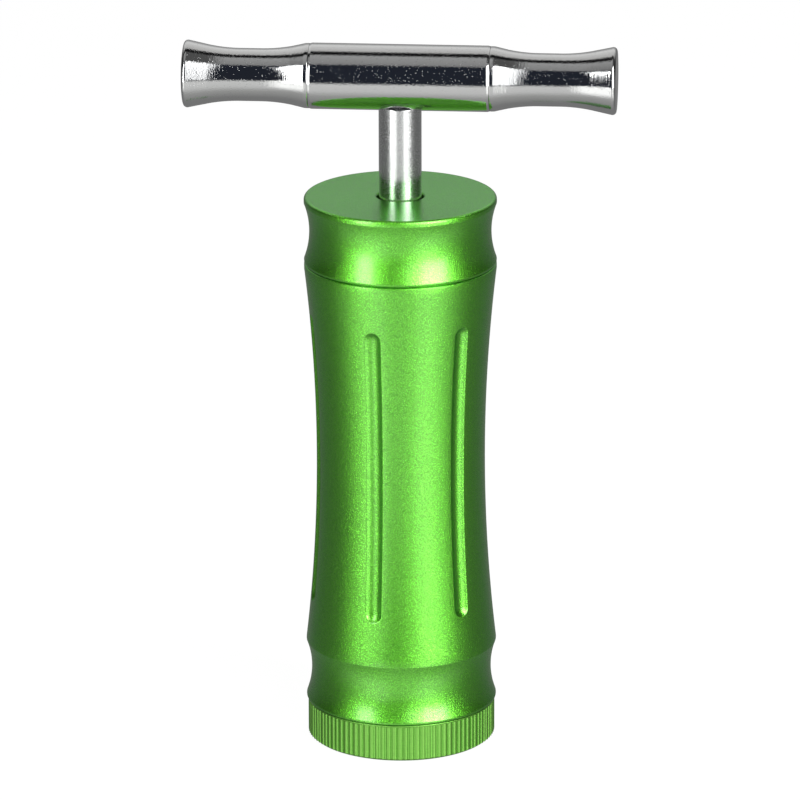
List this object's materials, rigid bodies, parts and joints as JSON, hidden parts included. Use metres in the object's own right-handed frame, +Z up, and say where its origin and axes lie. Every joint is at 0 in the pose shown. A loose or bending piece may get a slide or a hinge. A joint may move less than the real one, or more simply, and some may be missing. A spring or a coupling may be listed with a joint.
{
  "type": "hand screw press",
  "caption": "T-handle screw press that squeezes loose powder into a tablet in a steel-lined aluminium cylinder.",
  "frame": {"origin": "middle of the base cap's underside", "axes": "+Z up along the screw, +X along the T-bar to the right grip, -Y towards the viewer"},
  "size_m": [0.0786, 0.0352, 0.1318],
  "materials": {
    "green_anodised": "satin bead-blasted, green anodised",
    "green_turned": "turned and reeded, green anodised",
    "chrome": "bright chrome plate",
    "polished_steel": "polished plated steel",
    "steel": "ground steel",
    "brass": "turned brass",
    "rubber": "black rubber",
    "white_plastic": "white slippery plastic"
  },
  "bodies": {
    "base": {"base_cap": "green_turned", "lower_dowel": "steel"},
    "body_riser": {"base_seal": "rubber"},
    "body": {"main_body": "green_anodised", "chamber_liner": "steel"},
    "cap_riser": {"cap_seal": "rubber"},
    "cap": {"top_cap": "green_anodised", "drive_nut": "brass", "nut_screws": "steel"},
    "press": {"press_piston": "steel", "piston_ring": "white_plastic", "piston_pins": "steel", "thrust_ball": "steel"},
    "screw": {"drive_screw": "polished_steel", "handle_hub": "chrome", "left_grip": "chrome", "right_grip": "chrome", "left_grip_stud": "steel", "right_grip_stud": "steel", "hub_set_screw": "steel"}
  },
  "joints": [
    {"name": "body_lift", "type": "slide", "parent": "base", "child": "body_riser", "axis": [0, 0, 1], "range_m": [0, 0.0085]},
    {"name": "body_turn", "type": "hinge", "parent": "body_riser", "child": "body", "pos_m": [0, 0, 0.007], "axis": [0, 0, 1], "range_deg": [0, 1980]},
    {"name": "cap_lift", "type": "slide", "parent": "body", "child": "cap_riser", "axis": [0, 0, 1], "range_m": [0, 0.0085]},
    {"name": "cap_turn", "type": "hinge", "parent": "cap_riser", "child": "cap", "pos_m": [0, 0, 0.091], "axis": [0, 0, 1], "range_deg": [0, 1980]},
    {"name": "press_stroke", "type": "slide", "parent": "cap", "child": "press", "axis": [0, 0, -1], "range_m": [0, 0.0156]},
    {"name": "handle_turn", "type": "hinge", "parent": "press", "child": "screw", "pos_m": [0, 0, 0.1038], "axis": [0, 0, -1], "range_deg": [0, 3690]}
  ],
  "couplings": [
    {"joint": "body_lift", "follows": "body_turn", "m_per_rad": 0.00023873},
    {"joint": "cap_lift", "follows": "cap_turn", "m_per_rad": 0.00023873},
    {"joint": "press_stroke", "follows": "handle_turn", "m_per_rad": 0.00023873}
  ]
}
